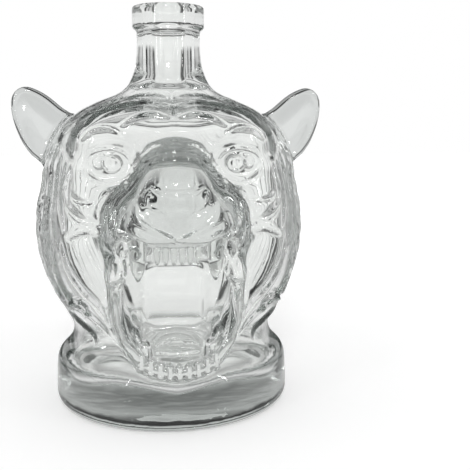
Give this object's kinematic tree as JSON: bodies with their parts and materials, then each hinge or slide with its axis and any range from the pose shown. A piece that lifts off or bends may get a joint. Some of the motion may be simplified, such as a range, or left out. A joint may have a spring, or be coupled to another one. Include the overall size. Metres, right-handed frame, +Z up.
{
  "type": "liquor decanter",
  "caption": "Clear moulded glass liquor decanter shaped as a roaring tiger's head on a heavy round foot, with glass ears and a short open neck with a collar.",
  "frame": {"origin": "Centre of the flat underside of the round foot, on the axis of foot, neck and bore.", "axes": "+Z up along the neck, +X towards the tiger's left side, which is on the right in the picture, and the face looks along -Y."},
  "size_m": [0.1708, 0.1477, 0.2175],
  "materials": {
    "body_glass": "fire-polished clear moulded soda-lime glass, smooth and glossy",
    "ear_glass": "solid clear soda-lime glass, fire-polished, smooth and glossy"
  },
  "bodies": {
    "root": {"glass_body": "body_glass", "left_ear": "ear_glass", "right_ear": "ear_glass"}
  },
  "joints": []
}
